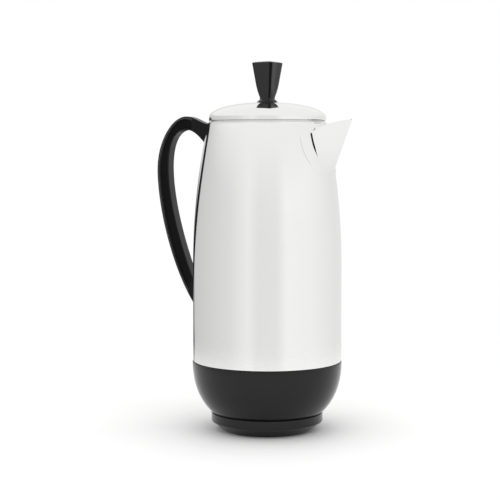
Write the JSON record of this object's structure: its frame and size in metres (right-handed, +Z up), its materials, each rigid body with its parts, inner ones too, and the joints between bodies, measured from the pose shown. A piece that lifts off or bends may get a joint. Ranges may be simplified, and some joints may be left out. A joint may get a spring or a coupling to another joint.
{
  "type": "coffee percolator",
  "caption": "Tall electric coffee percolator with a tapered steel pot, V-beaked spout, thin loop handle, domed lid with a flared knob, black bowl base and lift-out brewing parts.",
  "frame": {"origin": "centre of the foot ring's resting face", "axes": "+Z up along the pot's axis; +X towards the spout; the handle is at -X"},
  "size_m": [0.1811, 0.1324, 0.325],
  "materials": {
    "steel": "polished stainless steel",
    "brushed": "satin stainless steel",
    "hardware": "plated steel",
    "gloss_black": "gloss black phenolic",
    "satin_black": "satin black phenolic",
    "aluminium": "plain",
    "element": "heat-tinted sheath",
    "mica": "mica and ceramic",
    "ceramic": "cream ceramic",
    "silicone": "red-brown silicone",
    "brass": "turned",
    "contact": "nickel plate",
    "lead": "glass-braid and silicone lead"
  },
  "bodies": {
    "pot": {"vessel": "steel", "floor_pan": "brushed", "spout": "steel", "handle": "satin_black", "handle_inserts": "brass", "handle_screws": "hardware", "handle_seals": "silicone", "base_shell": "gloss_black", "base_gasket": "silicone", "foot_ring": "gloss_black", "bottom_plate": "brushed", "centre_stud": "hardware", "centre_nut": "hardware", "heater_plate": "aluminium", "heating_element": "element", "keep_warm_element": "mica", "heat_shield": "brushed", "thermostat": "satin_black", "thermostat_clip": "hardware", "thermal_fuse": "ceramic", "inlet_housing": "satin_black", "inlet_pins": "contact", "inlet_bracket": "hardware", "inlet_screws": "hardware", "inner_leads": "lead"},
    "pump": {"pump_tube": "brushed", "pump_foot": "brushed", "basket_collar": "brushed"},
    "valve": {"pump_valve": "hardware"},
    "coffee_basket": {"basket": "brushed", "basket_sleeve": "brushed"},
    "basket_cover": {"spreader": "brushed"},
    "lid": {"lid_shell": "steel", "lid_skirt": "brushed", "lid_knob": "satin_black", "knob_screw": "hardware", "knob_washer": "hardware"}
  },
  "joints": [
    {"name": "pump_lift", "type": "slide", "parent": "pot", "child": "pump", "axis": [0, 0, 1], "range_m": [0, 0.24]},
    {"name": "valve_lift", "type": "slide", "parent": "pump", "child": "valve", "axis": [0, 0, 1], "range_m": [0, 0.0015]},
    {"name": "basket_lift", "type": "slide", "parent": "pump", "child": "coffee_basket", "axis": [0, 0, 1], "range_m": [0, 0.065]},
    {"name": "spreader_lift", "type": "slide", "parent": "coffee_basket", "child": "basket_cover", "axis": [0, 0, 1], "range_m": [0, 0.025]},
    {"name": "lid_lift", "type": "slide", "parent": "basket_cover", "child": "lid", "axis": [0, 0, 1], "range_m": [0, 0.06]}
  ]
}
